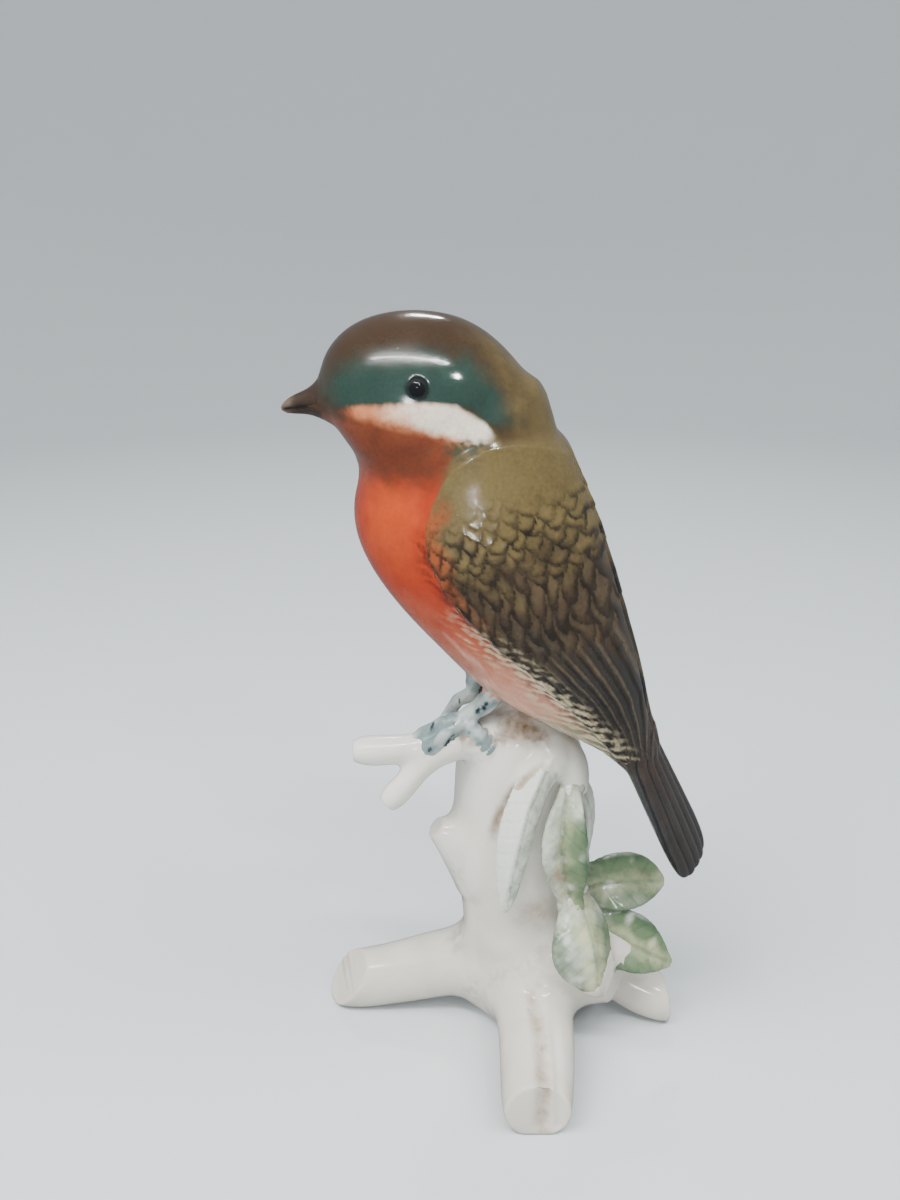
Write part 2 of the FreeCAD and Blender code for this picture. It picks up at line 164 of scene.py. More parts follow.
@dataclass
class Clay:
    """The joined figure as a voxel field, and the tools that cut pieces out of it.

    Args:
        voxel: edge of a voxel.
        band: distance to which the fields are exact.
        sink: slope at which a piece dives under its neighbours.
    """

    voxel: float = 0.36
    band: float = 5.0
    sink: float = 0.05
    fields: Dict[str, Block] = field(default_factory=dict)

    def read(self, name: str, plugs: Sequence[Tuple[Array, Array, float]] = ()) -> None:
        """Reads a CAD node as a distance field.

        Args:
            name: CAD node.
            plugs: capsules (start, end, radius) that close its vents.
        """
        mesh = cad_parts[name].data
        points = np.zeros(len(mesh.vertices) * 3, np.float32)
        mesh.vertices.foreach_get("co", points)
        points = points.reshape(-1, 3) / MM
        mesh.calc_loop_triangles()
        triangles = np.zeros(len(mesh.loop_triangles) * 3, np.int32)
        mesh.loop_triangles.foreach_get("vertices", triangles)
        grid = openvdb.FloatGrid.createLevelSetFromPolygons(
            points, triangles=triangles.reshape(-1, 3).astype(np.uint32),
            transform=openvdb.createLinearTransform(self.voxel), halfWidth=self.band / self.voxel)
        low = np.floor((points.min(0) - self.band) / self.voxel).astype(int)
        high = np.ceil((points.max(0) + self.band) / self.voxel).astype(int)
        values = np.zeros(tuple(high - low), np.float32)
        grid.copyToArray(values, ijk=tuple(int(v) for v in low))
        block = Block(tuple(int(v) for v in low), values)
        for start, end, radius in plugs:
            np.minimum(values, self.capsule(block, start, end, radius), out=values)
        self.fields[name] = block

    def capsule(self, block: Block, start: Array, end: Array, radius: float) -> Array:
        """Field of a round-ended rod over a block.

        Args:
            block: where to evaluate.
            start: one end.
            end: the other end.
            radius: radius of the rod.

        Returns:
            Array of the block's shape.
        """
        x, y, z = self.axes(block)
        along = end - start
        px, py, pz = x - start[0], y - start[1], z - start[2]
        t = np.clip((px * along[0] + py * along[1] + pz * along[2]) / (along @ along), 0, 1)
        return np.sqrt((px - t * along[0]) ** 2 + (py - t * along[1]) ** 2
                       + (pz - t * along[2]) ** 2).astype(np.float32) - radius

    def axes(self, block: Block) -> Tuple[Array, Array, Array]:
        """Coordinates of a block's voxels, shaped to broadcast.

        Args:
            block: the block.

        Returns:
            x, y and z arrays.
        """
        x, y, z = (np.arange(n, dtype=np.float32) * self.voxel + low * self.voxel
                   for low, n in zip(block.low, block.values.shape))
        return x[:, None, None], y[None, :, None], z[None, None, :]

    def join(self, fillets: Dict[str, float]) -> None:
        """Joins every field read so far into one, in the order given.

        Args:
            fillets: fillet radius by node.
        """
        lows = np.array([b.low for b in self.fields.values()])
        highs = np.array([np.add(b.low, b.values.shape) for b in self.fields.values()])
        low, size = lows.min(0), highs.max(0) - lows.min(0)
        self.whole = Block(tuple(int(v) for v in low), np.full(tuple(size), self.band, np.float32))
        self.hard = Block(self.whole.low, self.whole.values.copy())
        for name, radius in fillets.items():
            block = self.fields[name]
            window = self.whole.window(block)
            self.whole.values[window] = soft_min(self.whole.values[window], block.values, radius)
            self.hard.values[window] = np.minimum(self.hard.values[window], block.values)
        floor = -self.axes(self.whole)[2]
        np.maximum(self.whole.values, floor, out=self.whole.values)

    def cut(self, name: str, reach: float) -> Tuple[Array, Array, Block]:
        """Cuts one piece out of the joined field and meshes it.

        Args:
            name: CAD node that the piece stands for.
            reach: how far the piece runs on under its neighbours.

        Returns:
            Points, quads and the piece's own field.
        """
        block = self.fields[name]
        own = block.values
        joined = self.whole.values[self.whole.window(block)]
        shape = np.maximum(joined + self.sink * np.clip(own, 0, None), own - reach)
        for axis in range(3):
            for side in (0, -1):
                index = [slice(None)] * 3
                index[axis] = side
                shape[tuple(index)] = np.maximum(shape[tuple(index)], 0.5)
        grid = openvdb.FloatGrid(background=self.band)
        grid.transform = openvdb.createLinearTransform(self.voxel)
        grid.copyFromArray(np.ascontiguousarray(shape), ijk=block.low)
        points, quads = grid.convertToQuads(0.0)[:2]
        cut = Block(block.low, shape)
        points, quads = biggest(np.asarray(points, float), np.asarray(quads, np.int64))
        return self.polish(points, quads, cut), quads, cut

    def sample(self, block: Block, points: Array) -> Array:
        """Values of a block at points, by linear interpolation.

        Args:
            block: the field.
            points: N x 3 points.

        Returns:
            N values.
        """
        place = points / self.voxel - np.array(block.low)
        base = np.clip(np.floor(place).astype(int), 0, np.array(block.values.shape) - 2)
        part = np.clip(place - base, 0, 1)
        total = np.zeros(len(points))
        for corner in range(8):
            bits = [(corner >> b) & 1 for b in range(3)]
            weight = np.prod([part[:, b] if bits[b] else 1 - part[:, b] for b in range(3)], axis=0)
            total += weight * block.values[base[:, 0] + bits[0], base[:, 1] + bits[1], base[:, 2] + bits[2]]
        return total

    def slope(self, block: Block, points: Array) -> Array:
        """Outward unit normals of a field at points.

        Args:
            block: the field.
            points: N x 3 points.

        Returns:
            N x 3 directions.
        """
        reach = 0.8 * self.voxel
        normal = np.stack([self.sample(block, points + offset) - self.sample(block, points - offset)
                           for offset in np.eye(3) * reach], 1)
        return normal / np.maximum(np.linalg.norm(normal, axis=1, keepdims=True), 1e-9)

    def polish(self, points: Array, quads: Array, block: Block) -> Array:
        """Evens out a mesh and lays it back on its surface.

        Args:
            points: mesh points.
            quads: mesh quads.
            block: the field that the mesh follows.

        Returns:
            The new points.
        """
        a, b = quads.ravel(), np.roll(quads, -1, axis=1).ravel()
        ends, others = np.concatenate([a, b]), np.concatenate([b, a])
        count = np.bincount(ends, minlength=len(points))[:, None]
        for _ in range(3):
            mean = np.stack([np.bincount(ends, points[others, k], len(points)) for k in range(3)], 1) / count
            points = points + 0.6 * (mean - points)
            points = points - self.slope(block, points) * self.sample(block, points)[:, None] * 0.9
        return points


def biggest(points: Array, quads: Array) -> Tuple[Array, Array]:
    """Keeps only the largest connected shell of a mesh.

    Args:
        points: mesh points.
        quads: mesh quads.

    Returns:
        Points and quads of that shell.
    """
    label = np.arange(len(points))
    while True:
        smallest = label[quads].min(1)
        fresh = label.copy()
        for k in range(4):
            np.minimum.at(fresh, quads[:, k], smallest)
        fresh = fresh[fresh]
        if np.array_equal(fresh, label):
            break
        label = fresh
    keep = label == np.bincount(label).argmax()
    number = np.cumsum(keep) - 1
    return points[keep], number[quads[keep[quads[:, 0]]]]


# ---- glazes ------------------------------------------------------------------------------------
@dataclass(frozen=True)
class Layer:
    """One coat of paint, laid where a mask attribute says.

    Args:
        mask: name of the mesh attribute.
        colour: linear colour of the paint.
        ragged: how far brush noise moves the edge, 0 to 1.
        scale: noise scale, per metre.
    """

    mask: str
    colour: Colour
    ragged: float = 0.3
    scale: float = 900.0


@dataclass(frozen=True)
class Glaze:
    """A painted and glazed finish.

    Args:
        ground: linear colour under the layers.
        layers: coats in the order in which they are painted.
        mottle: strength of the brush mottling.
        roughness: roughness of the glaze.
        ripple: strength of the glaze's ripple.
    """

    ground: Colour
    layers: Tuple[Layer, ...] = ()
    mottle: float = 0.25
    roughness: float = 0.13
    ripple: float = 0.12


class GlazeShop:
    """Builds the shared node groups once, and a material for each glaze."""

    def __init__(self) -> None:
        self.coat = self._coat_group()
        self.mottle = self._mottle_group()
        self.surface = self._surface_group()

    @staticmethod
    def _group(name: str, inputs: Sequence[Tuple[str, str, object]],
               outputs: Sequence[Tuple[str, str]]) -> Tuple[bpy.types.NodeTree, bpy.types.Node, bpy.types.Node]:
        """Makes an empty group with its sockets.

        Args:
            name: name of the group.
            inputs: (name, socket type, default) of each input.
            outputs: (name, socket type) of each output.

        Returns:
            The tree, its input node and its output node.
        """
        tree = bpy.data.node_groups.new(name, "ShaderNodeTree")
        for label, kind, default in inputs:
            socket = tree.interface.new_socket(label, in_out="INPUT", socket_type=kind)
            if default is not None:
                socket.default_value = default
        for label, kind in outputs:
            tree.interface.new_socket(label, in_out="OUTPUT", socket_type=kind)
        return tree, tree.nodes.new("NodeGroupInput"), tree.nodes.new("NodeGroupOutput")

    @staticmethod
    def _noise(tree: bpy.types.NodeTree, scale: object, detail: float = 3.0) -> bpy.types.NodeSocket:
        """Noise over object coordinates.

        Args:
            tree: tree to build in.
            scale: a number or a socket.
            detail: noise detail.

        Returns:
            The noise value's socket.
        """
        place = tree.nodes.new("ShaderNodeTexCoord")
        noise = tree.nodes.new("ShaderNodeTexNoise")
        noise.inputs["Detail"].default_value = detail
        tree.links.new(place.outputs["Object"], noise.inputs["Vector"])
        if isinstance(scale, float):
            noise.inputs["Scale"].default_value = scale
        else:
            tree.links.new(scale, noise.inputs["Scale"])
        return noise.outputs["Fac"]

    @staticmethod
    def _math(tree: bpy.types.NodeTree, operation: str, *values: object) -> bpy.types.NodeSocket:
        """One math node.

        Args:
            tree: tree to build in.
            operation: its operation.
            values: numbers or sockets for its inputs.

        Returns:
            Its value socket.
        """
        node = tree.nodes.new("ShaderNodeMath")
        node.operation = operation
        for socket, value in zip(node.inputs, values):
            if isinstance(value, (int, float)):
                socket.default_value = value
            else:
                tree.links.new(value, socket)
        return node.outputs[0]

    def _coat_group(self) -> bpy.types.NodeTree:
        """Lays a coat of paint over a colour, with a brushed edge."""
        tree, start, end = self._group(
            "Paint Coat",
            [("Under", "NodeSocketColor", (1, 1, 1, 1)), ("Paint", "NodeSocketColor", (0, 0, 0, 1)),
             ("Mask", "NodeSocketFloat", 0.0), ("Ragged", "NodeSocketFloat", 0.3),
             ("Scale", "NodeSocketFloat", 900.0)],
            [("Colour", "NodeSocketColor")])
        noise = self._math(tree, "SUBTRACT", self._noise(tree, start.outputs["Scale"]), 0.5)
        moved = self._math(tree, "MULTIPLY", noise, start.outputs["Ragged"])
        bell = self._math(tree, "MULTIPLY", start.outputs["Mask"],
                          self._math(tree, "SUBTRACT", 1.0, start.outputs["Mask"]))
        edge = self._math(tree, "MULTIPLY_ADD", self._math(tree, "MULTIPLY", moved, bell), 8.0,
                          start.outputs["Mask"])
        ramp = tree.nodes.new("ShaderNodeMapRange")
        ramp.inputs["From Min"].default_value = 0.02
        ramp.inputs["From Max"].default_value = 0.98
        tree.links.new(edge, ramp.inputs["Value"])
        mix = tree.nodes.new("ShaderNodeMix")
        mix.data_type = "RGBA"
        tree.links.new(ramp.outputs["Result"], mix.inputs["Factor"])
        tree.links.new(start.outputs["Under"], mix.inputs[6])
        tree.links.new(start.outputs["Paint"], mix.inputs[7])
        tree.links.new(mix.outputs[2], end.inputs["Colour"])
        return tree

    def _mottle_group(self) -> bpy.types.NodeTree:
        """Thick and thin places in the painted colour, and a few kiln specks."""
        tree, start, end = self._group(
            "Brush Mottle",
            [("Colour", "NodeSocketColor", (1, 1, 1, 1)), ("Strength", "NodeSocketFloat", 0.25)],
            [("Colour", "NodeSocketColor")])
        coarse = self._math(tree, "SUBTRACT", self._noise(tree, 160.0, 5.0), 0.5)
        fine = self._math(tree, "SUBTRACT", self._noise(tree, 1700.0, 2.0), 0.5)
        both = self._math(tree, "MULTIPLY_ADD", fine, 0.7, coarse)
        amount = self._math(tree, "MULTIPLY_ADD", self._math(tree, "MULTIPLY", both, start.outputs["Strength"]),
                            2.0, 1.0)
        tone = tree.nodes.new("ShaderNodeHueSaturation")
        tree.links.new(start.outputs["Colour"], tone.inputs["Color"])
        tree.links.new(amount, tone.inputs["Value"])
        place = tree.nodes.new("ShaderNodeTexCoord")
        cells = tree.nodes.new("ShaderNodeTexVoronoi")
        cells.inputs["Scale"].default_value = 110.0
        tree.links.new(place.outputs["Object"], cells.inputs["Vector"])
        speck = tree.nodes.new("ShaderNodeMapRange")
        for label, value in (("From Min", 0.012), ("From Max", 0.03), ("To Min", 0.55), ("To Max", 0.0)):
            speck.inputs[label].default_value = value
        tree.links.new(cells.outputs["Distance"], speck.inputs["Value"])
        mix = tree.nodes.new("ShaderNodeMix")
        mix.data_type = "RGBA"
        mix.inputs[7].default_value = (0.09, 0.07, 0.05, 1)
        tree.links.new(speck.outputs["Result"], mix.inputs["Factor"])
        tree.links.new(tone.outputs["Color"], mix.inputs[6])
        tree.links.new(mix.outputs[2], end.inputs["Colour"])
        return tree

    def _surface_group(self) -> bpy.types.NodeTree:
        """Height of the glaze's ripple, and its roughness with handling marks."""
        tree, start, end = self._group(
            "Glaze Surface",
            [("Roughness", "NodeSocketFloat", 0.13), ("Ripple", "NodeSocketFloat", 0.12)],
            [("Height", "NodeSocketFloat"), ("Roughness", "NodeSocketFloat")])
        swell = self._math(tree, "MULTIPLY", self._noise(tree, 210.0, 1.0), start.outputs["Ripple"])
        grain = self._math(tree, "MULTIPLY", self._noise(tree, 1400.0, 1.0),
                           self._math(tree, "MULTIPLY", start.outputs["Ripple"], 0.12))
        tree.links.new(self._math(tree, "ADD", swell, grain), end.inputs["Height"])
        marks = self._math(tree, "SUBTRACT", self._noise(tree, 90.0, 6.0), 0.42)
        worn = self._math(tree, "MULTIPLY", self._math(tree, "MAXIMUM", marks, 0.0), 0.5)
        tree.links.new(self._math(tree, "ADD", worn, start.outputs["Roughness"]), end.inputs["Roughness"])
        return tree

    def material(self, finish: Finish, glaze: Glaze) -> bpy.types.Material:
        """Material of one finish.

        Args:
            finish: whose name the material takes.
            glaze: its paint and glaze.

        Returns:
            The material.
        """
        material = bpy.data.materials.new(finish.value)
        material.use_nodes = True
        tree = material.node_tree
        shader = tree.nodes["Principled BSDF"]
        ground = tree.nodes.new("ShaderNodeRGB")
        ground.outputs[0].default_value = (*glaze.ground, 1)
        colour = ground.outputs[0]
        for layer in glaze.layers:
            coat = tree.nodes.new("ShaderNodeGroup")
            coat.node_tree = self.coat
            mask = tree.nodes.new("ShaderNodeAttribute")
            mask.attribute_name = layer.mask
            coat.inputs["Paint"].default_value = (*layer.colour, 1)
            coat.inputs["Ragged"].default_value = layer.ragged
            coat.inputs["Scale"].default_value = layer.scale
            tree.links.new(colour, coat.inputs["Under"])
            tree.links.new(mask.outputs["Fac"], coat.inputs["Mask"])
            colour = coat.outputs["Colour"]
        mottle = tree.nodes.new("ShaderNodeGroup")
        mottle.node_tree = self.mottle
        mottle.inputs["Strength"].default_value = glaze.mottle
        tree.links.new(colour, mottle.inputs["Colour"])
        tree.links.new(mottle.outputs["Colour"], shader.inputs["Base Color"])
        surface = tree.nodes.new("ShaderNodeGroup")
        surface.node_tree = self.surface
        surface.inputs["Roughness"].default_value = glaze.roughness
        surface.inputs["Ripple"].default_value = glaze.ripple
        bump = tree.nodes.new("ShaderNodeBump")
        bump.inputs["Strength"].default_value = 0.5
        bump.inputs["Distance"].default_value = 0.0006
        tree.links.new(surface.outputs["Height"], bump.inputs["Height"])
        tree.links.new(bump.outputs["Normal"], shader.inputs["Normal"])
        tree.links.new(surface.outputs["Roughness"], shader.inputs["Roughness"])
        shader.inputs["IOR"].default_value = 1.5
        shader.inputs["Coat Weight"].default_value = 0.2
        shader.inputs["Coat Roughness"].default_value = 0.06
        return material


OLIVE: Colour = (0.105, 0.077, 0.030)
UMBER: Colour = (0.040, 0.026, 0.015)
SLATE: Colour = (0.022, 0.020, 0.018)
WHITE: Colour = (0.68, 0.655, 0.595)

BIRD_LAYERS = (
    Layer("white_belly", (0.46, 0.225, 0.155), 0.6, 420.0),
    Layer("orange", (0.27, 0.026, 0.008), 0.6, 260.0),
    # Brighter orange on the side of the breast: painted light.
    Layer("painted_breast_light", (0.40, 0.052, 0.010), 0.7, 300.0),
    Layer("throat", (0.120, 0.031, 0.013), 0.6, 380.0),
    Layer("vent", (0.200, 0.165, 0.100), 0.6, 500.0),
    Layer("back", (0.056, 0.038, 0.018), 0.4, 500.0),
    Layer("olive", OLIVE, 0.5, 420.0),
    Layer("umber", UMBER, 0.7, 600.0),
    Layer("slate", SLATE, 0.6, 500.0),
    Layer("crown", (0.034, 0.020, 0.011), 0.5, 420.0),
    Layer("teal", (0.017, 0.038, 0.030), 0.5, 420.0),
    Layer("peach", (0.46, 0.17, 0.075), 0.7, 600.0),
    Layer("cheek", (0.66, 0.59, 0.48), 0.5, 600.0),
    Layer("blush", (0.22, 0.050, 0.014), 0.6, 420.0),
    Layer("tuft", (0.050, 0.048, 0.028), 0.9, 1500.0),
    Layer("fringe", (0.46, 0.39, 0.25), 0.6, 900.0),
    # Pale rims on the long feathers: painted highlights on the vane edges; the coverts get a paler middle.
    Layer("pale", (0.095, 0.070, 0.040), 0.5, 1200.0),
    Layer("line", (0.014, 0.010, 0.007), 0.5, 1300.0),
    Layer("socket", (0.008, 0.010, 0.010), 0.3, 900.0),
)

GLAZES: Dict[Finish, Glaze] = {
    Finish.HEAD: Glaze((0.32, 0.065, 0.026), BIRD_LAYERS, 0.30, 0.10),
    Finish.BREAST: Glaze((0.34, 0.085, 0.045), BIRD_LAYERS, 0.20, 0.11),
    Finish.WING: Glaze(OLIVE, BIRD_LAYERS, 0.40, 0.12),
    Finish.TAIL: Glaze((0.042, 0.025, 0.017), (Layer("slate", (0.026, 0.022, 0.020), 0.6, 500.0),
                                               Layer("edge", (0.034, 0.038, 0.042), 0.5, 600.0),
                                               Layer("line", (0.008, 0.007, 0.006), 0.3, 900.0)), 0.35, 0.14),
    Finish.HORN: Glaze((0.032, 0.020, 0.014), (Layer("tip", (0.14, 0.10, 0.075), 0.4, 900.0),
                                               Layer("line", (0.006, 0.005, 0.004), 0.3, 900.0)), 0.3),
    Finish.BLACK: Glaze((0.004, 0.004, 0.005), (Layer("ring", (0.012, 0.015, 0.015), 0.3, 900.0),),
                        0.3, 0.05, 0.0),
    Finish.LEG: Glaze((0.38, 0.43, 0.41), (Layer("wash", (0.17, 0.22, 0.22), 0.8, 500.0),
                                           Layer("spots", (0.015, 0.024, 0.032), 0.7, 1100.0)), 0.25),
    # Leaves: the last, dark brown coat darkens each leaf towards its stalk, and is painted shade in the
    # creases.
    Finish.LEAF: Glaze((0.64, 0.66, 0.58), (Layer("green", (0.115, 0.165, 0.088), 0.8, 300.0),
                                           Layer("deep", (0.052, 0.095, 0.052), 0.7, 420.0),
                                           Layer("cream", (0.48, 0.50, 0.30), 0.7, 380.0),
                                           Layer("brown", (0.22, 0.115, 0.050), 0.9, 420.0),
                                           Layer("rim", (0.72, 0.73, 0.68), 0.4, 500.0),
                                           Layer("vein", (0.07, 0.115, 0.065), 0.4, 900.0),
                                           Layer("dirt_and_painted_shade", (0.25, 0.18, 0.12), 0.8, 600.0)), 0.12),
    # Bark: the shade coat is painted shade towards the bottom, with random tone; the brown coats are stains and
    # painted shadow, with painted shade in the creases.
    Finish.WHITE: Glaze(WHITE, (Layer("shade", (0.50, 0.455, 0.385), 0.6, 120.0),
                                Layer("stain_and_painted_shadow", (0.34, 0.245, 0.17), 0.8, 320.0),
                                Layer("dirt_and_painted_shade", (0.150, 0.100, 0.060), 0.9, 700.0)), 0.05, 0.10, 0.14),
}


# ---- pieces ------------------------------------------------------------------------------------
Look = Callable[[Array, Array], Tuple[Array, Masks]]


@dataclass
class Workshop:
    """Makes visual pieces out of the clay and dresses them.

    Args:
        clay: the joined figure.
        shop: builds the glazes.
    """

    clay: Clay
    shop: GlazeShop
    materials: Dict[Finish, bpy.types.Material] = field(default_factory=dict)

    def piece(self, name: str, finish: Finish, reach: float, look: Look) -> bpy.types.Object:
        """Makes one piece.

        Args:
            name: CAD node that it stands for.
            finish: its finish.
            reach: how far it runs under its neighbours.
            look: gives relief in millimetres and paint masks from design points and normals.

        Returns:
            The object.
        """
        points, quads, block = self.clay.cut(name, reach)
        normals = self.clay.slope(block, points)
        design = points - AXIS_SHIFT
        relief, masks = look(design, normals)
        # In the creases where the fillets join the pieces, the dark brown mask is raised, patchy with noise:
        # painted shade.
        crease = self.clay.sample(self.clay.hard, points) - self.clay.sample(self.clay.whole, points)
        if "dirt_and_painted_shade" in masks:
            crease_shade = np.clip(crease / 0.5, 0, 1) * (0.5 + 0.8 * wave(design, 9, 3))
            masks["dirt_and_painted_shade"] = np.clip(masks["dirt_and_painted_shade"] + 0.14 * crease_shade, 0, 1)
        points = points + normals * relief[:, None]
        points[:, 2] = np.maximum(points[:, 2], 0.0)
        return self.dress(name, finish, points, quads, masks)

    def plain(self, name: str, finish: Finish, look: Look) -> bpy.types.Object:
        """Makes one small piece straight from its CAD surface.

        Args:
            name: CAD node that it stands for.
            finish: its finish.
            look: gives paint masks from design points and normals.

        Returns:
            The object.
        """
        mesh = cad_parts[name].data
        points = np.zeros(len(mesh.vertices) * 3)
        mesh.vertices.foreach_get("co", points)
        corners = np.zeros(len(mesh.polygons) * 3, np.int64)
        mesh.polygons.foreach_get("vertices", corners)
        points, same = np.unique(np.round(points.reshape(-1, 3), 7), axis=0, return_inverse=True)
        faces = same.ravel()[corners.reshape(-1, 3)]
        whole = (faces[:, 0] != faces[:, 1]) & (faces[:, 1] != faces[:, 2]) & (faces[:, 2] != faces[:, 0])
        points = points / MM
        return self.dress(name, finish, points, faces[whole], look(points - AXIS_SHIFT, points)[1])

    def dress(self, name: str, finish: Finish, points: Array, faces: Array, masks: Masks) -> bpy.types.Object:
        """Makes the object of a piece, paints it and fixes it to the frame.

        Args:
            name: CAD node that it stands for.
            finish: its finish.
            points: points in millimetres.
            faces: three or four indices a face.
            masks: paint masks at the points.

        Returns:
            The object.
        """
        obj = self._object(name, points * MM, faces)
        for label, values in masks.items():
            attribute = obj.data.attributes.new(label, "FLOAT", "POINT")
            attribute.data.foreach_set("value", np.clip(values, 0, 1).astype(np.float32))
        if finish not in self.materials:
            self.materials[finish] = self.shop.material(finish, GLAZES[finish])
        obj.data.materials.append(self.materials[finish])
        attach(obj, "root")
        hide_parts(name)
        LOG.info("%s: %d faces", name, len(faces))
        return obj

    @staticmethod
    def _object(name: str, points: Array, faces: Array) -> bpy.types.Object:
        """Smooth-shaded mesh object with outward faces.

        Args:
            name: CAD node that the object stands for.
            points: points in metres.
            faces: three or four indices a face.

        Returns:
            The object, linked to the scene.
        """
        sides = faces.shape[1]
        corner = [points[faces[:, k]] for k in range(sides)]
        volume = sum(np.einsum("ij,ij->i", corner[0], np.cross(corner[k], corner[k + 1])).sum()
                     for k in range(1, sides - 1))
        if volume < 0:
            faces = faces[:, ::-1]
        mesh = bpy.data.meshes.new(name + "_glazed")
        mesh.vertices.add(len(points))
        mesh.vertices.foreach_set("co", points.astype(np.float32).ravel())
        mesh.loops.add(faces.size)
        mesh.loops.foreach_set("vertex_index", faces.astype(np.int32).ravel())
        mesh.polygons.add(len(faces))
        mesh.polygons.foreach_set("loop_start", np.arange(0, faces.size, sides, dtype=np.int32))
        mesh.polygons.foreach_set("use_smooth", np.ones(len(faces), bool))
        mesh.update(calc_edges=True)
        mesh.validate()
        obj = bpy.data.objects.new(name + "_glazed", mesh)
        bpy.context.scene.collection.objects.link(obj)
        return obj


# Front edge of the folded wing in the body's own middle plane, from the neck down.
WING_EDGE_Z = (60.0, 62.4, 67.4, 73.2, 78.8, 84.0, 89.2, 95.2, 101.0, 106.6, 111.6, 116.0, 121.0)
WING_EDGE_X = (19.4, 16.6, 13.2, 8.4, 3.0, -2.4, -7.6, -11.8, -13.6, -12.6, -11.4, -9.0, -6.0)
WING_BACK_Z = (60.0, 72.0, 86.0, 97.5, 107.0, 113.0, 121.0)
WING_BACK_X = (22.0, 21.4, 18.4, 14.0, 9.0, 3.0, -2.0)


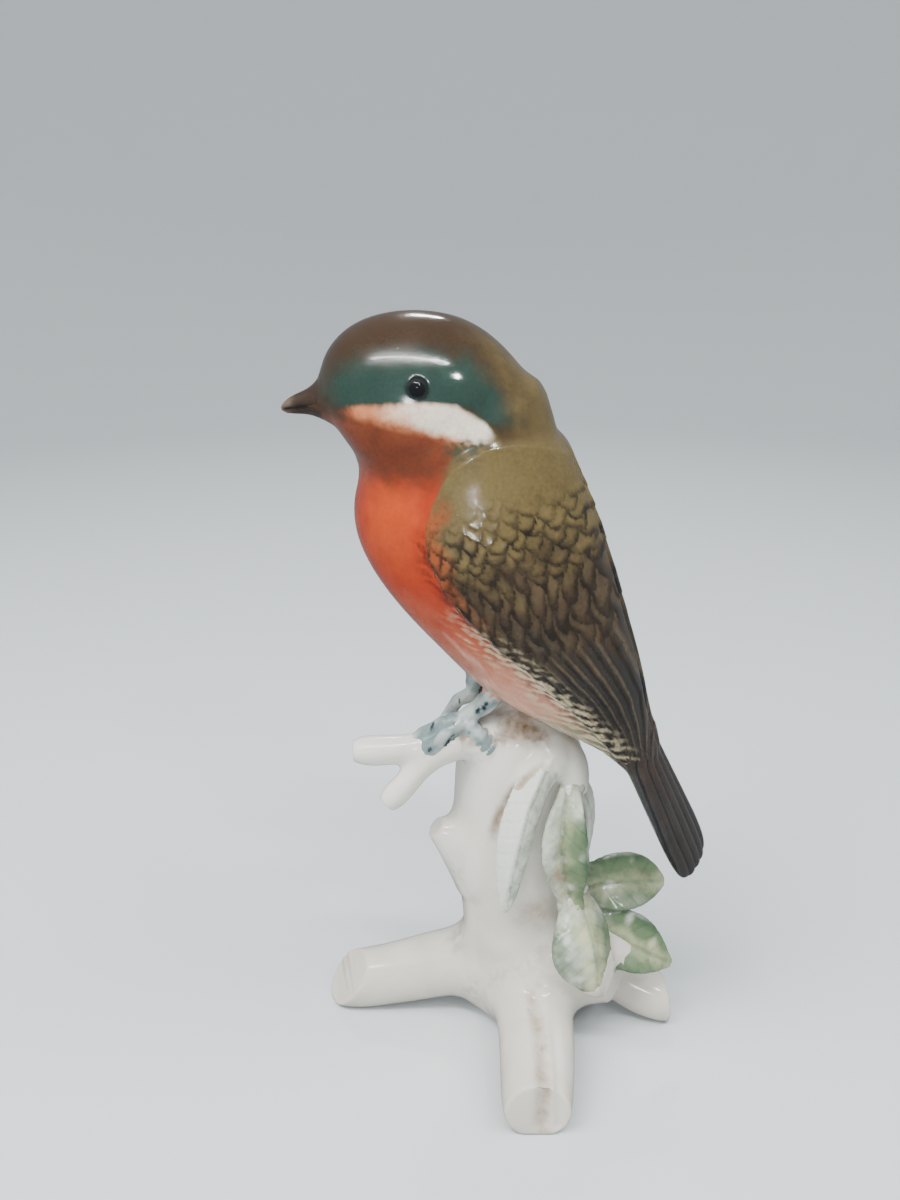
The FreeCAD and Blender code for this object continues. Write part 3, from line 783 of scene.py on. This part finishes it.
@dataclass
class Bird:
    """The songbird: castings, bill, eyes and legs.

    Args:
        eye_at: x and z of the eyes in the head's middle plane.
        scale_size: spacing of the scale-like shoulder feathers.
        quills: number of long feathers across a wing.
    """

    eye_at: Tuple[float, float] = (-21.2, 123.9)
    scale_size: float = 2.9
    quills: int = 9

    def build(self, workshop: Workshop) -> None:
        """Builds every piece of the bird.

        Args:
            workshop: makes the pieces.
        """
        workshop.piece("bird_body", Finish.BREAST, 2.6, self.plumage)
        workshop.piece("bird_head", Finish.HEAD, 2.6, self.plumage)
        for side in ("left", "right"):
            workshop.piece(side + "_wing", Finish.WING, 1.0, self.wing)
            workshop.plain(side + "_eye", Finish.BLACK, self.eye)
            workshop.piece(side + "_leg", Finish.LEG, 1.0, self.leg)
        workshop.piece("tail", Finish.TAIL, 1.6, self.tail)
        workshop.piece("beak", Finish.HORN, 1.2, self.beak)

    def plumage(self, points: Array, normals: Array) -> Tuple[Array, Masks]:
        """Paint of the head and body, and the soft relief of the small feathers.

        Args:
            points: design points.
            normals: outward normals; not used.

        Returns:
            Relief and masks.
        """
        head = turn(points, -HEAD_YAW, HEAD_PIVOT)
        body = turn(points, -BODY_YAW, BODY_PIVOT)
        hx, hz = head[:, 0] + 1.2, head[:, 2]
        bx, bz = body[:, 0], body[:, 2]
        fuzz = 0.5 * wave(points, 5, 11) + 0.3 * wave(points, 2, 12)
        cheek_low = np.interp(hx, (-32, -28, -21, -15, -11, -7.5), (120.8, 120.0, 118.4, 116.6, 115.5, 116.6))
        cheek_high = np.interp(hx, (-32, -28, -20, -14, -9.5, -7.0), (120.8, 121.3, 121.8, 121.2, 118.4, 115.4))
        teal_low = np.interp(hx, (-34, -29, -20, -12, -8, -5), (121.0, 121.3, 121.8, 121.0, 118.2, 118.0))
        teal_high = np.interp(hx, (-34, -29, -20, -12, -8, -5), (124.6, 127.2, 128.6, 127.6, 124.0, 120.0))
        on_cheek = step(-0.9, 1.2, hz - cheek_low + 0.3 * fuzz) * step(0.7, -0.6, hz - cheek_high)
        on_cheek *= step(-31.5, -25, hx) * step(-7.0, -9.6, hx)
        edge = np.interp(bz, WING_EDGE_Z, WING_EDGE_X)
        back = step(-1.6, 1.6, bx - edge + 0.6 * fuzz) * step(58, 61, bz)
        upper = step(-1.0, 1.2, hz - cheek_high) * step(-36, -35, hx)
        nape = step(-8.8, -6.0, hx) * step(112.0, 115.0, hz)
        neck = np.clip(upper + nape, 0, 1)
        front = np.interp(bz, (60, 70, 78, 90, 104, 112), (6.0, -8.6, -16.2, -27.9, -31.2, -30))
        depth = bx - front
        under_cheek = step(-16.5, -12, hx) * step(0.6, -0.9, hz - cheek_low) * step(108, 111, hz)
        lore = step(-29.0, -32.5, hx) * step(117.6, 119.6, hz)
        orange = step(78, 93, bz - 0.10 * depth + 1.5 * fuzz) * step(119, 111, hz)
        # A brighter orange patch on the side of the breast: painted light.
        painted_breast_light = np.exp(-(((bx + 21.0) / 6.0) ** 2 + ((bz - 104) / 9.5) ** 2)) * step(114, 108, hz)
        belly = step(84, 70, bz - 0.35 * (bx + 10) + 2.0 * fuzz)
        throat = step(106.0, 111.5, hz + 0.9 * fuzz) * step(121.0, 119.4, hz) * step(-7, -12, hx)
        distance = (edge - bx) * 0.78
        strokes = self.strokes(points, distance, 0.62 * bx - 0.78 * bz)
        fringe = step(7.5, 0.5, distance + 1.6 * fuzz) * step(91, 81, bz) * strokes
        dark_tips = step(4.5, 0.2, distance + 1.2 * fuzz) * step(104, 96, bz) * (1 - strokes)
        eye_x, eye_z = self.eye_at
        ring = np.hypot(head[:, 0] - eye_x, head[:, 2] - eye_z)
        speckle = np.exp(-(((hx + 12.0) / 3.6) ** 2 + ((hz - 114.6) / 1.5) ** 2))
        speckle *= 0.9 + 1.2 * wave(points, 1.3, 5)
        vent = step(-2.0, 8.0, bx + 0.4 * distance) * step(74, 66, bz)
        crown = upper * step(2.0, -14.0, hx + 0.25 * (hz - 124) + 1.2 * fuzz)
        masks = {
            "orange": orange, "painted_breast_light": 0.9 * painted_breast_light, "throat": 0.9 * throat * (1 - on_cheek),
            "white_belly": belly, "vent": 0.85 * vent, "back": np.clip(back + neck, 0, 1),
            "olive": 0.85 * np.clip(back * step(84, 98, bz) + nape + under_cheek
                                    + upper * step(-20, -6, hx), 0, 1),
            "umber": 0.85 * back * step(98, 84, bz), "slate": 0.5 * back * step(82, 66, bz),
            "crown": np.clip(crown + 0.9 * lore, 0, 1),
            "teal": step(-1.4, 0.9, hz - teal_low) * step(3.4, -2.4, hz - teal_high + 0.5 * fuzz)
                    * step(-1, -10, hx) * step(-36, -31, hx) * 0.95,
            "peach": step(-1.8, 0.6, hz - cheek_low) * step(0.6, -0.5, hz - cheek_high)
                     * step(-31.5, -28.5, hx) * step(-9, -14, hx) * 0.9,
            "cheek": on_cheek * step(-29, -17, hx), "tuft": np.clip(speckle, 0, 1),
            "fringe": 0.9 * fringe * (1 - back), "line": np.clip(0.75 * dark_tips * (1 - back), 0, 1),
            "socket": 0.8 * step(2.2, 1.6, ring) * (np.abs(head[:, 1]) > 4),
        }
        return 0.07 * strokes * step(100, 84, bz) * step(8, 2, distance) * step(0.2, 1.2, distance), masks

    @staticmethod
    def strokes(points: Array, distance: Array, along: Array) -> Array:
        """Broken brush strokes that leave a wing's lower edge at a slant.

        Args:
            points: design points.
            distance: distance outside the edge.
            along: distance along the edge.

        Returns:
            Mask of the strokes.
        """
        slanted = distance + 0.75 * along + 0.40 * wave(points, 4.5, 14)
        stripe = 0.5 + 0.5 * np.sin(2 * math.pi * slanted / 1.75)
        return step(0.30, 0.75, stripe + 0.5 * wave(points, 2.4, 15))

    def wing(self, points: Array, normals: Array) -> Tuple[Array, Masks]:
        """Scale feathers on the shoulder, then coverts, then the long flight feathers.

        Args:
            points: design points.
            normals: outward normals.

        Returns:
            Relief and masks.
        """
        body = turn(points, -BODY_YAW, BODY_PIVOT)
        bx, bz = body[:, 0], body[:, 2]
        fuzz = wave(points, 6, 21)
        low, high = np.interp(bz, WING_EDGE_Z, WING_EDGE_X), np.interp(bz, WING_BACK_Z, WING_BACK_X)
        across = np.clip((bx - low) / np.maximum(high - low, 1.0), 0, 1)
        along = (bx + 6.0) * 0.40 + (111.0 - bz) * 0.917
        reach = along / 55.0
        sideways = (bx + 6.0) * 0.917 - (111.0 - bz) * 0.40
        warp_a, warp_s = 0.45 * wave(points, 6.0, 31), 0.45 * wave(points, 6.0, 32)
        down, aside = along + warp_a, sideways + warp_s
        scales, scale_lines = self.scales(down, aside, self.scale_size, 1.0)
        coverts, covert_lines = self.scales(down, aside + 0.10 * along, 0.84 * self.scale_size, 2.7)
        quills, quill_lines, vane_highlights = self.feathers(reach + 0.006 * warp_a, across + 0.012 * warp_s,
                                                        self.quills)
        place = reach - 0.06 * across + 0.02 * fuzz
        first, last = step(0.32, 0.26, place), step(0.50, 0.58, place)
        middle = (1 - first) * (1 - last)
        smooth_top = step(0.03, 0.17, reach - 0.05 * across + 0.02 * fuzz)
        relief = smooth_top * (first * scales + 1.1 * middle * coverts + last * quills)
        worn = 0.85 + 0.3 * wave(points, 3.5, 35)
        lines = smooth_top * worn * (0.85 * first * scale_lines + 0.95 * middle * covert_lines
                                     + last * quill_lines)
        distance = (bx - low) * 0.78
        strokes = self.strokes(points, -distance, 0.62 * bx - 0.78 * bz)
        masks = {
            "olive": step(0.60, 0.22, reach + 0.25 * (1 - across) - 0.04 * fuzz),
            "umber": step(0.20, 0.48, reach + 0.12 * (1 - across) + 0.06 * fuzz),
            "slate": step(0.50, 0.82, reach + 0.16 * (1 - across) + 0.08 * fuzz),
            "back": 0.7 * step(0.45, 0.9, across) * step(0.6, 0.2, reach),
            "blush": 0.75 * step(2.6, 0.0, distance + 0.5 * fuzz) * step(84, 94, bz) * step(109, 104, bz),
            # Painted highlights on the long feathers' vane edges, and a paler middle on the coverts.
            "pale": 0.8 * smooth_top * np.clip(0.7 * last * vane_highlights
                                               + 0.3 * middle * (1 - covert_lines), 0, 1),
            "line": np.clip(lines, 0, 1), "fringe": 0.8 * step(3.2, 0.2, distance) * strokes * step(90, 80, bz),
        }
        inner = np.clip(-1.0 * np.sign((normals[:, 1]) * points[:, 1]), 0, 1)
        return relief * (1 - inner), masks

    @staticmethod
    def scales(along: Array, across: Array, size: float, stretch: float) -> Tuple[Array, Array]:
        """Overlapping round-ended feathers, like roof tiles.

        Args:
            along: distance down the wing.
            across: distance across the wing.
            size: spacing across.
            stretch: length of a feather beside its width.

        Returns:
            Relief and outline mask.
        """
        best, rim, found = np.zeros(len(along)), np.zeros(len(along)), np.zeros(len(along), bool)
        pitch = 0.62 * size * stretch
        row = np.floor(along / pitch)
        for back in (2, 1, 0):
            this = row - back
            shift = np.where(np.mod(this, 2) > 0.5, 0.5 * size, 0.0) + 0.16 * size * np.sin(this * 2.3)
            column = np.round((across - shift) / size)
            jitter = 0.10 * np.sin(column * 5.1 + this * 3.7)
            dx = (across - shift - column * size) / (0.60 * size)
            dy = (along - (this + jitter) * pitch) / (1.28 * size * stretch)
            radius = np.sqrt(dx ** 2 + np.clip(dy, 0, None) ** 2)
            inside = (radius < 1.0) & (dy >= 0) & ~found
            best = np.where(inside, 0.24 * radius ** 2, best)
            rim = np.where(inside, step(0.60, 0.94, radius), rim)
            found |= inside
        return best, rim

    @staticmethod
    def feathers(reach: Array, across: Array, count: int) -> Tuple[Array, Array, Array]:
        """Long feathers that run side by side to the wing's tip.

        Args:
            reach: share of the wing's length.
            across: 0 at the lower edge and 1 at the back.
            count: feathers across the wing.

        Returns:
            Relief, line mask and mask of the pale rims, which are painted highlights on the vane edges.
        """
        lane = np.clip(across, 0, 1) ** 0.8 * count + 0.35 * np.sin(reach * 6.0)
        part = np.mod(lane, 1.0)
        line = np.maximum(step(0.22, 0.04, part), step(0.93, 1.0, part))
        shaft = step(0.08, 0.02, np.abs(part - 0.62))
        # Pale band beside each line: painted highlight on the vane edge.
        rim = step(0.26, 0.36, part) * step(0.56, 0.44, part)
        return 0.04 + 0.24 * (1 - part) * step(0.0, 0.12, part), np.clip(line + 0.4 * shaft, 0, 1), rim

    def tail(self, points: Array, normals: Array) -> Tuple[Array, Masks]:
        """Long tail feathers as lengthwise ridges.

        Args:
            points: design points.
            normals: outward normals; not used.

        Returns:
            Relief and masks.
        """
        local = turn(turn(points, -BODY_YAW, BODY_PIVOT), -TAIL_YAW, RUMP)
        along = (local[:, 0] - 12) * 0.555 + (70 - local[:, 2]) * 0.832
        width = np.interp(along, (0, 12, 28, 38), (5.2, 6.0, 7.6, 7.0))
        lane = (local[:, 1] / width) * 2.6 + 3.5
        part = np.mod(lane, 1.0)
        ridge = 0.28 * np.sin(math.pi * part) ** 0.7
        line = np.maximum(step(0.12, 0.03, part), step(0.88, 0.97, part))
        fuzz = wave(points, 7, 31)
        return ridge * step(2, 8, along) - 0.12, {
            "slate": step(4, 26, along + 3 * fuzz), "line": 0.85 * line,
            "edge": 0.6 * step(0.80, 0.98, -local[:, 1] / width) * step(8, 16, along),
        }

    def beak(self, points: Array, normals: Array) -> Tuple[Array, Masks]:
        """Line between the mandibles and a paler tip.

        Args:
            points: design points.
            normals: outward normals; not used.

        Returns:
            Relief and masks.
        """
        head = turn(points, -HEAD_YAW, HEAD_PIVOT)
        gape = head[:, 2] - np.interp(head[:, 0], (-42.3, -38, -32), (119.0, 119.7, 120.2))
        line = step(0.42, 0.12, np.abs(gape)) * step(0.2, 0.6, np.abs(head[:, 1]))
        return -0.22 * line, {"line": line, "tip": 0.8 * step(-39.4, -42.2, head[:, 0])}

    def eye(self, points: Array, normals: Array) -> Tuple[Array, Masks]:
        """Black eye with a faint lighter ring.

        Args:
            points: design points.
            normals: outward normals; not used.

        Returns:
            Relief and masks.
        """
        head = turn(points, -HEAD_YAW, HEAD_PIVOT)
        ring = np.hypot(head[:, 0] - self.eye_at[0], head[:, 2] - self.eye_at[1])
        return np.zeros(len(points)), {"ring": step(1.15, 1.35, ring) * step(1.75, 1.5, ring)}

    def leg(self, points: Array, normals: Array) -> Tuple[Array, Masks]:
        """Blue-grey wash with dark spots and shallow rings.

        Args:
            points: design points.
            normals: outward normals; not used.

        Returns:
            Relief and masks.
        """
        rings = 0.06 * np.sin(2 * math.pi * (points[:, 0] * 0.8 - points[:, 2] * 0.6) / 1.3)
        spots = step(0.75, 1.15, wave(points, 1.5, 41) + 0.5 * wave(points, 5, 42))
        return rings, {"wash": step(-0.5, 0.7, wave(points, 4.5, 43)), "spots": spots}


@dataclass
class Stump:
    """The stump with its roots and twigs.

    Args:
        pieces: node, and how far it runs under its neighbours.
    """

    pieces: Tuple[Tuple[str, float], ...] = (
        ("stump", 2.4), ("root_left", 2.4), ("root_front", 2.4), ("root_right", 2.0), ("root_back", 2.4),
        ("root_knob", 2.0), ("branch_stub", 1.8), ("twig", 1.6), ("twig_prong", 1.2), ("leaf_stem", 1.4),
    )

    def build(self, workshop: Workshop) -> None:
        """Builds every piece of the stump.

        Args:
            workshop: makes the pieces.
        """
        for name, reach in self.pieces:
            workshop.piece(name, Finish.WHITE, reach, self.bark)

    def bark(self, points: Array, normals: Array) -> Tuple[Array, Masks]:
        """Smooth white bark with soft flutes and a grooved front root; stains in the groove and on the sawn
        root end, stain and painted shadow under the bird and beside and behind the hanging leaves, painted
        shade towards the bottom and painted shade in the creases.

        Args:
            points: design points.
            normals: outward normals.

        Returns:
            Relief and masks.
        """
        x, y, z = points.T
        angle = np.arctan2(y, x + 2)
        trunk = step(16, 24, z) * step(60, 54, z)
        flute = 0.22 * trunk * np.sin(3 * angle + 0.10 * z + 0.6) + 0.16 * wave(points, 17, 51)
        groove_x = 0.6 + 0.5 * np.sin(y / 6.0)
        on_front = step(-13, -17, y) * (normals[:, 2] > 0)
        groove = np.exp(-((x - groove_x) / 1.35) ** 2) * on_front
        second = np.exp(-((x - 3.6) / 0.8) ** 2) * on_front * step(-17, -24, y)
        near_top = np.hypot(x + 3, y) < 13
        # Under the bird, beside the hanging leaf and behind the leaves: stain with painted shadow of the bird
        # and the leaves.
        under_bird = step(60, 63.5, z) * near_top * step(-1.0, 0.9, wave(points, 7, 52))
        leaf_side = np.interp(z, (38, 46, 50, 56, 59), (-8.4, -7.1, -5.8, -2.4, 0.8))
        beside_leaf = np.exp(-(((x - leaf_side) / 0.9) ** 2)) * step(40, 47, z) * step(60, 57, z) * (y < 0)
        behind = np.exp(-(((x - 0.5) / 3.6) ** 2 + ((z - 28) / 3.0) ** 2)) * (y < -4)
        sawn = step(-33, -35.5, x + 0.5 * (z - 5)) * step(3, 6, z)
        patchy = step(-0.3, 0.9, wave(points, 3.5, 53))
        # The groove and the sawn end carry real stains; the marks under the bird and beside and behind the
        # leaves are partly painted shadow.
        dirt_and_painted_shade = 0.9 * under_bird + 0.45 * beside_leaf + 0.25 * behind + 0.6 * groove * patchy
        stain_and_painted_shadow = 0.6 * under_bird + 0.7 * beside_leaf + 0.5 * groove + 0.2 * sawn + 0.3 * behind
        relief = flute - 0.9 * groove - 0.4 * second + 0.12 * sawn * np.sin(2.2 * (x + z))
        return relief * step(0.2, 2.0, z), {
            "shade": 0.40 * step(60, 4, z) + 0.30 * step(-0.6, 0.9, wave(points, 24, 54)),
            "stain_and_painted_shadow": np.clip(stain_and_painted_shadow, 0, 0.8), "dirt_and_painted_shade": np.clip(0.6 * dirt_and_painted_shade, 0, 1),
        }


@dataclass(frozen=True)
class Blade:
    """How one leaf is painted.

    Args:
        rib: midrib points (x, y, z) from the stalk to the tip.
        side: direction across the blade, from its left to its right.
        width: half width at the widest place.
        green: how green the left and the right half are.
        cream: strength of the pale zone along the midrib.
        brown: strength of the brown smear.
        rim: strength of the white rim.
    """

    rib: Tuple[Tuple[float, float, float], ...]
    side: Tuple[float, float, float]
    width: float
    green: Tuple[float, float]
    cream: float = 0.0
    brown: float = 0.0
    rim: float = 0.3

    def look(self, points: Array, normals: Array) -> Tuple[Array, Masks]:
        """Veins and green washes.

        Args:
            points: design points.
            normals: outward normals; not used.

        Returns:
            Relief and masks.
        """
        rib = np.array(self.rib, float)
        lengths = np.concatenate([[0], np.cumsum(np.linalg.norm(np.diff(rib, axis=0), axis=1))])
        nearest, along, offset = np.full(len(points), 1e9), np.zeros(len(points)), np.zeros((len(points), 3))
        for k in range(len(rib) - 1):
            run = rib[k + 1] - rib[k]
            t = np.clip((points - rib[k]) @ run / (run @ run), 0, 1)
            away = points - rib[k] - t[:, None] * run
            distance = np.linalg.norm(away, axis=1)
            closer = distance < nearest
            nearest = np.where(closer, distance, nearest)
            along = np.where(closer, lengths[k] + t * (lengths[k + 1] - lengths[k]), along)
            offset = np.where(closer[:, None], away, offset)
        side = np.array(self.side) / np.linalg.norm(self.side)
        across = offset @ side
        share = along / lengths[-1]
        fuzz = wave(points, 5, 61)
        rib_line = step(0.55, 0.18, np.abs(across)) * step(1.0, 0.9, share)
        veins = np.abs(np.mod((along - 0.75 * np.abs(across)) / 3.1, 1.0) - 0.5)
        vein_line = step(0.10, 0.03, veins) * step(0.3, 0.9, np.abs(across))
        edge = np.clip(np.abs(across) / self.width, 0, 1.3)
        half = np.where(across < 0, self.green[0], self.green[1])
        green = half * step(-0.9, 0.6, fuzz + 1.2) * (0.4 + 0.6 * step(0.0, 0.35, share))
        relief = -0.20 * rib_line - 0.09 * vein_line + 0.10 * step(0.6, 1.0, edge)
        return relief, {
            "green": np.clip(green, 0, 1),
            "deep": np.clip(green * (0.75 * step(0.55, 0.95, edge) + 0.25 * vein_line), 0, 1),
            "cream": self.cream * step(0.55, 0.15, edge + 0.12 * fuzz),
            "brown": self.brown * np.exp(-(((across + 0.9) / 1.3) ** 2 + ((share - 0.66) / 0.2) ** 2)),
            "rim": self.rim * step(0.86, 1.02, edge),
            "vein": 0.45 * (0.7 * rib_line + 0.3 * vein_line) * (half > 0.2),
            # Darker towards the stalk; the workshop adds painted shade in the creases.
            "dirt_and_painted_shade": 0.15 * step(0.25, 0.0, share),
        }


@dataclass
class Foliage:
    """The pressed leaves.

    Args:
        blades: paint of each leaf, by node.
    """

    blades: Dict[str, Blade] = field(default_factory=lambda: {
        "leaf_hanging_left": Blade(((4.6, -7, 59.6), (1.2, -11, 57.4), (-1.6, -13.6, 51.4), (-3.2, -14.6, 44.4),
                                    (-4.4, -14.4, 37.6), (-5, -13.6, 32.8), (-5.4, -13, 30.4)),
                                   (1, 0.3, 0), 3.6, (0.03, 0.38), 0.0, 0.0, 0.5),
        "leaf_hanging_right": Blade(((5.8, -8.6, 53.2), (4.9, -10.4, 48.6), (4.6, -11.4, 43.2),
                                     (5.2, -11.6, 38), (6.2, -11.4, 33.4), (7.4, -11, 29.8)),
                                    (1, 0, 0), 4.8, (0.45, 1.0), 0.30, 0.42, 0.45),
        "leaf_hanging_back": Blade(((7, -4, 51.6), (8.9, -3, 48.4), (9.7, -2.6, 43.4), (9.9, -2.6, 38.6),
                                    (9.9, -2.8, 33.8)), (0.2, -1, 0), 3.2, (0.12, 0.12)),
        "leaf_bud": Blade(((3.2, 0.2, 59), (5.8, 0, 57.2), (7.4, -0.4, 53.8), (7.4, -0.8, 50)),
                          (0.2, -1, 0), 2.8, (0.05, 0.25)),
        "leaf_base_upper": Blade(((9, -4, 28.6), (13.4, -4.8, 30.4), (17.8, -4.8, 31), (21.8, -4.2, 30.8),
                                  (25.2, -3.2, 30)), (0, -0.5, -1), 5.4, (1.0, 0.85), 0.35, 0.15, 0.25),
        "leaf_base_lower": Blade(((9.6, -6.4, 24.6), (14.2, -8.2, 22.4), (18.8, -8.8, 20), (23, -8.6, 17.4),
                                  (26.6, -8, 15)), (-0.4, -0.5, -1), 5.4, (1.0, 0.95), 0.4, 0.1, 0.25),
        "leaf_base_front": Blade(((8, -10.6, 32), (9.6, -13.6, 28), (10.8, -15.6, 23.4), (11.4, -16.2, 18.8),
                                  (11.6, -15.6, 14.2)), (1, 0.3, 0), 6.6, (0.60, 0.90), 0.55, 0.0, 0.0),
    })

    def build(self, workshop: Workshop) -> None:
        """Builds every leaf.

        Args:
            workshop: makes the pieces.
        """
        for name, blade in self.blades.items():
            workshop.piece(name, Finish.LEAF, 1.3, blade.look)


@dataclass(frozen=True)
class Lamp:
    """One rectangular soft light of the studio.

    Args:
        name: name of the light.
        place: where it hangs, in metres.
        target: what it looks at.
        size: its width and height.
        watts: its power.
        glints: whether the glaze mirrors it.
    """

    name: str
    place: Tuple[float, float, float]
    target: Tuple[float, float, float]
    size: Tuple[float, float]
    watts: float
    glints: bool = False


# Broad lights give the form; the bars and small lamps give the glaze its sharp glints.
LAMPS = (
    Lamp("studio_left", (-0.30, -0.15, 0.50), (0, 0, 0.08), (0.30, 0.30), 3.6),
    Lamp("studio_right", (0.30, -0.10, 0.52), (0, 0, 0.08), (0.30, 0.30), 2.5),
    Lamp("studio_bar", (-0.04, -0.26, 0.60), (0, 0, 0.08), (0.40, 0.014), 2.6, True),
    Lamp("studio_lamp", (0.16, -0.30, 0.42), (0, 0, 0.08), (0.02, 0.03), 0.35, True),
    Lamp("studio_low_lamp", (-0.02, -0.50, 0.26), (0, 0, 0.04), (0.03, 0.05), 0.30, True),
    Lamp("studio_back_bar", (0.02, 0.45, 0.50), (0, 0, 0.06), (0.10, 0.03), 1.0, True),
    Lamp("studio_fill", (-0.35, -0.55, 0.35), (0, 0, 0.08), (0.60, 0.60), 2.2),
)
PAPER = (0.585, 0.62, 0.635, 1)
AIR, AIR_STRENGTH = (0.80, 0.88, 0.94, 1), 0.30


@dataclass
class Studio:
    """Floor, lights and camera.

    Args:
        lens: focal length for a 36 mm sensor along the picture's long side.
        camera_at: camera place from the stump's axis, in millimetres.
        tilt: degrees below the horizon.
    """

    lens: float = 33.0
    camera_at: Tuple[float, float, float] = (-15.0, -178.0, 153.0)
    tilt: float = 20.8

    def build(self) -> None:
        """Builds the studio."""
        scene = bpy.context.scene
        floor = self.bowl()
        paper = bpy.data.materials.new("studio_paper")
        paper.use_nodes = True
        shader = paper.node_tree.nodes["Principled BSDF"]
        shader.inputs["Base Color"].default_value = PAPER
        shader.inputs["Roughness"].default_value = 0.85
        shader.inputs["Specular IOR Level"].default_value = 0.1
        floor.data.materials.append(paper)
        floor.visible_glossy = False   # the glaze mirrors the dim air, which keeps its colours deep
        world = bpy.data.worlds.new("studio_air")
        scene.world = world
        world.use_nodes = True
        world.node_tree.nodes["Background"].inputs["Color"].default_value = AIR
        world.node_tree.nodes["Background"].inputs["Strength"].default_value = AIR_STRENGTH
        for lamp in LAMPS:
            self.light(lamp)
        camera = bpy.data.objects.new("studio_camera", bpy.data.cameras.new("studio_camera"))
        scene.collection.objects.link(camera)
        camera.location = (np.array(self.camera_at) + AXIS_SHIFT) * MM
        camera.rotation_euler = (math.radians(90 - self.tilt), 0, 0)
        camera.data.lens = self.lens
        camera.data.sensor_width = 36.0
        camera.data.clip_start = 0.01
        scene.camera = camera

    @staticmethod
    def bowl(flat: float = 0.55, bend: float = 0.40, rim: float = 1.3, sides: int = 96) -> bpy.types.Object:
        """Round paper sweep: a flat floor that bends up into a wall.

        Args:
            flat: radius of the flat floor.
            bend: radius of the bend.
            rim: height of the wall.
            sides: points round it.

        Returns:
            The object.
        """
        profile = [(0.02, 0.0), (0.2, 0.0), (flat, 0.0)]
        profile += [(flat + bend * math.sin(t), bend * (1 - math.cos(t)))
                    for t in np.linspace(0.1, math.pi / 2, 16)]
        profile.append((flat + bend, rim))
        points = [(r * math.cos(2 * math.pi * k / sides), r * math.sin(2 * math.pi * k / sides), z - 0.00005)
                  for r, z in profile for k in range(sides)]
        starts = [(ring * sides, k, (k + 1) % sides) for ring in range(len(profile) - 1) for k in range(sides)]
        faces = [(low + k, low + after, low + sides + after, low + sides + k) for low, k, after in starts]
        faces.append(tuple(range(sides - 1, -1, -1)))
        mesh = bpy.data.meshes.new("studio_sweep")
        mesh.from_pydata(points, [], faces)
        mesh.polygons.foreach_set("use_smooth", np.ones(len(mesh.polygons), bool))
        obj = bpy.data.objects.new("studio_sweep", mesh)
        bpy.context.scene.collection.objects.link(obj)
        return obj

    @staticmethod
    def light(lamp: Lamp) -> None:
        """Adds one rectangular soft light.

        Args:
            lamp: its place, aim, size and power.
        """
        data = bpy.data.lights.new(lamp.name, "AREA")
        data.shape, data.energy = "RECTANGLE", lamp.watts
        data.size, data.size_y = lamp.size
        obj = bpy.data.objects.new(lamp.name, data)
        bpy.context.scene.collection.objects.link(obj)
        obj.location = lamp.place
        obj.visible_glossy = lamp.glints
        away = np.subtract(lamp.place, lamp.target)
        flat = math.hypot(away[0], away[1])
        obj.rotation_euler = (math.atan2(flat, away[2]), 0, math.atan2(away[0], -away[1]))


# Fillet radius of each piece where it is joined to the ones before it, in joining order.
FILLETS: Dict[str, float] = {
    "bird_body": 1.0, "bird_head": 5.0, "tail": 2.5, "beak": 3.0, "left_wing": 3.2, "right_wing": 3.2,
    "left_eye": 0.25, "right_eye": 0.25, "stump": 2.0, "root_left": 5.0, "root_front": 5.0,
    "root_right": 4.5, "root_back": 5.0, "root_knob": 4.0, "branch_stub": 4.5, "twig": 4.0,
    "twig_prong": 2.2, "leaf_stem": 3.0, "left_leg": 1.0, "right_leg": 1.0,
    "leaf_hanging_left": 1.8, "leaf_hanging_right": 1.2, "leaf_hanging_back": 1.4, "leaf_bud": 2.0,
    "leaf_base_upper": 1.4, "leaf_base_lower": 1.2, "leaf_base_front": 2.4,
}


def vents() -> Dict[str, List[Tuple[Array, Array, float]]]:
    """Rods that close the vents between the castings.

    Returns:
        Rods by node.
    """
    neck = (np.array([-14.0, 0, 98]) + AXIS_SHIFT, np.array([-17.0, 0, 118]) + AXIS_SHIFT, 3.4)
    seat = (np.array([-1.0, 0, 56]) + AXIS_SHIFT, np.array([-1.0, 0, 72]) + AXIS_SHIFT, 3.4)
    return {"bird_head": [neck], "bird_body": [neck, seat], "stump": [seat]}


def main() -> None:
    """Builds the figure and the studio."""
    logging.basicConfig(level=logging.INFO, format="%(message)s")
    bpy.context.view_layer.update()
    clay = Clay()
    plugs = vents()
    for name in FILLETS:
        clay.read(name, plugs.get(name, ()))
    clay.join(FILLETS)
    workshop = Workshop(clay, GlazeShop())
    for part in (Bird(), Stump(), Foliage()):
        part.build(workshop)
        LOG.info("built %s", type(part).__name__)
    Studio().build()


if __name__ == "__main__":
    main()
